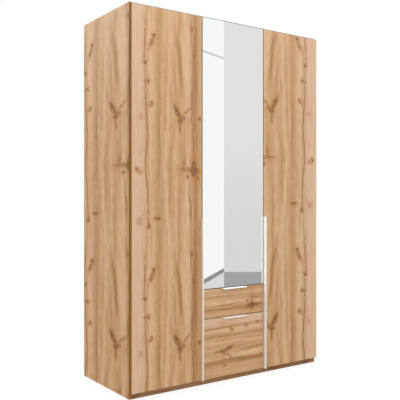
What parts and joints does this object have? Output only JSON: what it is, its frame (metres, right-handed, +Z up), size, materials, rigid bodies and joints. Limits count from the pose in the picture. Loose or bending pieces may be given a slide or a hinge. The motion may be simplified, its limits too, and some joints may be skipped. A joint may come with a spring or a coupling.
{
  "type": "wardrobe with doors",
  "caption": "Tall oak-decor wardrobe: wooden doors with edge handles flank a mirror door over drawers.",
  "frame": {"origin": "on the floor, in the middle of the overall box", "axes": "+X to the right seen from the front, +Y towards the back, +Z up; the fronts face -Y"},
  "size_m": [1.35, 0.6, 2.08],
  "materials": {
    "decor_oak": "matt oak plank decor on board",
    "decor_edge": "dark oak plank decor on the plinth",
    "inner_board": "linen print on inner boards",
    "hardboard": "thin hardboard, printed on one face",
    "drawer_board": "white foil on drawer boards",
    "mirror": "silvered flat glass",
    "handle_metal": "satin anodised",
    "hinge_steel": "nickel plated, satin",
    "rail_steel": "bright chrome",
    "runner_enamel": "white baked enamel",
    "zinc": "bright zinc die casting",
    "white_plastic": "moulded, matt",
    "clear_soft": "soft translucent",
    "dowel_wood": "turned beech"
  },
  "bodies": {
    "carcass": {"left_side_panel": "decor_oak", "right_side_panel": "decor_oak", "left_partition": "inner_board", "right_partition": "inner_board", "top_panel": "inner_board", "bottom_panel": "inner_board", "front_plinth": "decor_edge", "rear_plinth": "inner_board", "drawer_cover_shelf": "inner_board", "left_top_shelf": "inner_board", "middle_shelf_1": "inner_board", "middle_shelf_2": "inner_board", "middle_shelf_3": "inner_board", "right_shelf_1": "inner_board", "right_shelf_2": "inner_board", "right_shelf_3": "inner_board", "right_shelf_4": "inner_board", "back_panel_left": "hardboard", "back_panel_middle": "hardboard", "back_panel_right": "hardboard", "back_joint_strips": "white_plastic", "hanging_rail": "rail_steel", "rail_end_supports": "zinc", "shelf_pins": "hinge_steel", "left_door_hinge_arms": "hinge_steel", "mirror_door_hinge_arms": "hinge_steel", "right_door_hinge_arms": "hinge_steel", "hinge_mounting_plates": "hinge_steel", "cabinet_runners": "runner_enamel", "cam_locks": "zinc", "cam_bolts": "hinge_steel", "wooden_dowels": "dowel_wood", "wall_fixing_brackets": "hinge_steel", "nail_glides": "white_plastic", "door_bumpers": "clear_soft"},
    "left_door": {"left_door_panel": "decor_oak", "left_door_handle": "handle_metal", "left_door_hinge_cups": "hinge_steel"},
    "right_door": {"right_door_panel": "decor_oak", "right_door_handle": "handle_metal", "right_door_hinge_cups": "hinge_steel"},
    "mirror_door": {"mirror_door_board": "decor_oak", "mirror_glass": "mirror", "mirror_door_hinge_cups": "hinge_steel"},
    "upper_drawer": {"upper_drawer_front": "decor_oak", "upper_drawer_handle": "handle_metal", "upper_drawer_sides": "drawer_board", "upper_drawer_back": "drawer_board", "upper_drawer_bottom": "hardboard", "upper_drawer_rails": "runner_enamel"},
    "upper_drawer_front_rollers": {"upper_drawer_front_rollers": "white_plastic"},
    "upper_drawer_rear_rollers": {"upper_drawer_rear_rollers": "white_plastic"},
    "lower_drawer": {"lower_drawer_front": "decor_oak", "lower_drawer_handle": "handle_metal", "lower_drawer_sides": "drawer_board", "lower_drawer_back": "drawer_board", "lower_drawer_bottom": "hardboard", "lower_drawer_rails": "runner_enamel"},
    "lower_drawer_front_rollers": {"lower_drawer_front_rollers": "white_plastic"},
    "lower_drawer_rear_rollers": {"lower_drawer_rear_rollers": "white_plastic"}
  },
  "joints": [
    {"name": "left_door_hinge", "type": "hinge", "parent": "carcass", "child": "left_door", "pos_m": [-0.662, -0.2715, 1.052], "axis": [0, 0, -1], "range_deg": [0, 95]},
    {"name": "mirror_door_hinge", "type": "hinge", "parent": "carcass", "child": "mirror_door", "pos_m": [-0.21333, -0.2715, 1.306], "axis": [0, 0, -1], "range_deg": [0, 95]},
    {"name": "right_door_hinge", "type": "hinge", "parent": "carcass", "child": "right_door", "pos_m": [0.662, -0.2715, 1.052], "axis": [0, 0, 1], "range_deg": [0, 95]},
    {"name": "upper_drawer_slide", "type": "slide", "parent": "carcass", "child": "upper_drawer", "axis": [0, -1, 0], "range_m": [0, 0.35]},
    {"name": "lower_drawer_slide", "type": "slide", "parent": "carcass", "child": "lower_drawer", "axis": [0, -1, 0], "range_m": [0, 0.35]},
    {"name": "upper_drawer_front_rollers_spin", "type": "hinge", "parent": "carcass", "child": "upper_drawer_front_rollers", "pos_m": [0, -0.238, 0.40375], "axis": [1, 0, 0], "range_deg": [-1, 1825]},
    {"name": "upper_drawer_rear_rollers_spin", "type": "hinge", "parent": "upper_drawer", "child": "upper_drawer_rear_rollers", "pos_m": [0, 0.178, 0.39625], "axis": [1, 0, 0], "range_deg": [-1, 1825]},
    {"name": "lower_drawer_front_rollers_spin", "type": "hinge", "parent": "carcass", "child": "lower_drawer_front_rollers", "pos_m": [0, -0.238, 0.10375], "axis": [1, 0, 0], "range_deg": [-1, 1825]},
    {"name": "lower_drawer_rear_rollers_spin", "type": "hinge", "parent": "lower_drawer", "child": "lower_drawer_rear_rollers", "pos_m": [0, 0.178, 0.09625], "axis": [1, 0, 0], "range_deg": [-1, 1825]}
  ],
  "couplings": [
    {"joint": "upper_drawer_front_rollers_spin", "follows": "upper_drawer_slide", "rad_per_m": 90.909},
    {"joint": "upper_drawer_rear_rollers_spin", "follows": "upper_drawer_slide", "rad_per_m": 90.909},
    {"joint": "lower_drawer_front_rollers_spin", "follows": "lower_drawer_slide", "rad_per_m": 90.909},
    {"joint": "lower_drawer_rear_rollers_spin", "follows": "lower_drawer_slide", "rad_per_m": 90.909}
  ]
}
